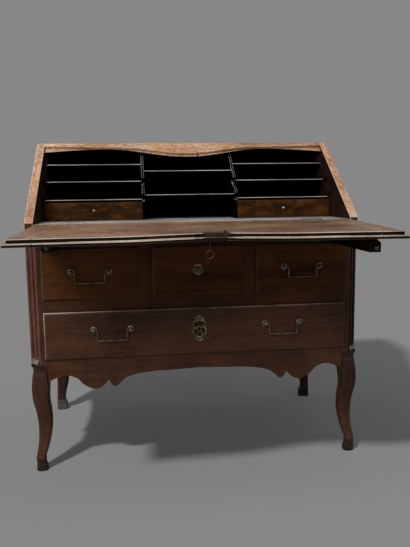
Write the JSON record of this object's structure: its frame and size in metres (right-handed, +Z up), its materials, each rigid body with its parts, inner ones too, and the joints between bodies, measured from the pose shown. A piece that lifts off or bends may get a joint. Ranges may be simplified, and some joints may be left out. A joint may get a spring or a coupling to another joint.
{
  "type": "slant-front desk",
  "caption": "Slant-front writing desk on cabriole legs, with a hinged fall let down on sliding lopers, a pigeonhole interior, drawers with bail handles and pierced escutcheons.",
  "frame": {"origin": "on the floor, under the middle of the box round the desk with its fall open", "axes": "+X to the right seen from the front, -Y towards the front, where the fall opens, +Z up"},
  "size_m": [1.058, 0.969, 1.046],
  "materials": {
    "case_wood": "waxed",
    "worn_wood": "worn and nearly bare",
    "fall_wood": "waxed, worn at the edges",
    "drawer_wood": "waxed",
    "small_drawer_wood": "waxed",
    "interior_wood": "dull",
    "secondary_wood": "bare",
    "lock_brass": "dull",
    "pale_brass": "worn",
    "dark_bronze": "dark patina",
    "lock_steel": "dull"
  },
  "bodies": {
    "case": {"front_left_post": "case_wood", "front_right_post": "case_wood", "rear_left_post": "case_wood", "rear_right_post": "case_wood", "left_side_panel": "case_wood", "right_side_panel": "case_wood", "left_cheek": "worn_wood", "right_cheek": "worn_wood", "top_board": "worn_wood", "top_rail": "worn_wood", "upper_back": "secondary_wood", "lower_back": "secondary_wood", "writing_bed": "fall_wood", "loper_rail": "case_wood", "mid_rail": "case_wood", "front_apron": "case_wood", "muntins": "case_wood", "upper_dust_board": "secondary_wood", "case_bottom": "secondary_wood", "drawer_guides": "secondary_wood", "loper_channels": "secondary_wood", "unit_sides": "interior_wood", "unit_dividers": "interior_wood", "unit_top": "interior_wood", "bay_shelves": "interior_wood", "centre_shelves": "interior_wood", "bed_hinge_leaves": "lock_brass"},
    "fall": {"fall_board": "fall_wood", "fall_cleats": "fall_wood", "fall_hinge_leaves": "lock_brass", "fall_lock": "lock_brass"},
    "bolt": {"lock_bolt": "lock_steel"},
    "key": {"fall_key": "lock_steel"},
    "left_loper": {"left_loper": "case_wood", "left_loper_knob": "dark_bronze"},
    "right_loper": {"right_loper": "case_wood", "right_loper_knob": "dark_bronze"},
    "left_small_drawer": {"left_small_front": "small_drawer_wood", "left_small_box": "secondary_wood", "left_small_knob": "pale_brass"},
    "right_small_drawer": {"right_small_front": "small_drawer_wood", "right_small_box": "secondary_wood", "right_small_knob": "pale_brass"},
    "left_drawer": {"left_drawer_front": "drawer_wood", "left_drawer_box": "secondary_wood", "left_bail_posts": "dark_bronze"},
    "centre_drawer": {"centre_drawer_front": "drawer_wood", "centre_drawer_box": "secondary_wood", "centre_drawer_lock": "lock_brass"},
    "right_drawer": {"right_drawer_front": "drawer_wood", "right_drawer_box": "secondary_wood", "right_bail_posts": "dark_bronze"},
    "long_drawer": {"long_drawer_front": "drawer_wood", "long_drawer_box": "secondary_wood", "long_drawer_lock": "lock_brass", "long_bail_posts": "dark_bronze"},
    "left_bail": {"left_bail": "dark_bronze"},
    "right_bail": {"right_bail": "dark_bronze"},
    "long_left_bail": {"long_left_bail": "dark_bronze"},
    "long_right_bail": {"long_right_bail": "dark_bronze"}
  },
  "joints": [
    {"name": "fall_hinge", "type": "hinge", "parent": "case", "child": "fall", "pos_m": [0, -0.07311, 0.779], "axis": [-1, 0, 0], "range_deg": [0, 144]},
    {"name": "key_turn", "type": "hinge", "parent": "fall", "child": "key", "pos_m": [0, -0.4087, 0.74727], "axis": [0, -0.0349, 0.9994], "range_deg": [0, 180]},
    {"name": "bolt_slide", "type": "slide", "parent": "fall", "child": "bolt", "axis": [0, -0.9994, -0.0349], "range_m": [0, 0.012]},
    {"name": "left_loper_slide", "type": "slide", "parent": "case", "child": "left_loper", "axis": [0, -1, 0], "range_m": [-0.1, 0.22]},
    {"name": "right_loper_slide", "type": "slide", "parent": "case", "child": "right_loper", "axis": [0, -1, 0], "range_m": [-0.32, 0]},
    {"name": "left_drawer_slide", "type": "slide", "parent": "case", "child": "left_drawer", "axis": [0, -1, 0], "range_m": [0, 0.38]},
    {"name": "centre_drawer_slide", "type": "slide", "parent": "case", "child": "centre_drawer", "axis": [0, -1, 0], "range_m": [0, 0.27]},
    {"name": "right_drawer_slide", "type": "slide", "parent": "case", "child": "right_drawer", "axis": [0, -1, 0], "range_m": [0, 0.38]},
    {"name": "long_drawer_slide", "type": "slide", "parent": "case", "child": "long_drawer", "axis": [0, -1, 0], "range_m": [0, 0.38]},
    {"name": "left_small_drawer_slide", "type": "slide", "parent": "case", "child": "left_small_drawer", "axis": [0, -1, 0], "range_m": [0, 0.09]},
    {"name": "right_small_drawer_slide", "type": "slide", "parent": "case", "child": "right_small_drawer", "axis": [0, -1, 0], "range_m": [0, 0.09]},
    {"name": "left_bail_swing", "type": "hinge", "parent": "left_drawer", "child": "left_bail", "pos_m": [-0.33075, -0.11583, 0.634], "axis": [-1, 0, 0], "range_deg": [-14, 95]},
    {"name": "right_bail_swing", "type": "hinge", "parent": "right_drawer", "child": "right_bail", "pos_m": [0.33075, -0.11583, 0.634], "axis": [-1, 0, 0], "range_deg": [-14, 95]},
    {"name": "long_left_bail_swing", "type": "hinge", "parent": "long_drawer", "child": "long_left_bail", "pos_m": [-0.269, -0.11583, 0.453], "axis": [-1, 0, 0], "range_deg": [-14, 95]},
    {"name": "long_right_bail_swing", "type": "hinge", "parent": "long_drawer", "child": "long_right_bail", "pos_m": [0.269, -0.11583, 0.453], "axis": [-1, 0, 0], "range_deg": [-14, 95]}
  ],
  "couplings": [
    {"joint": "bolt_slide", "follows": "key_turn", "m_per_rad": 0.0038}
  ]
}
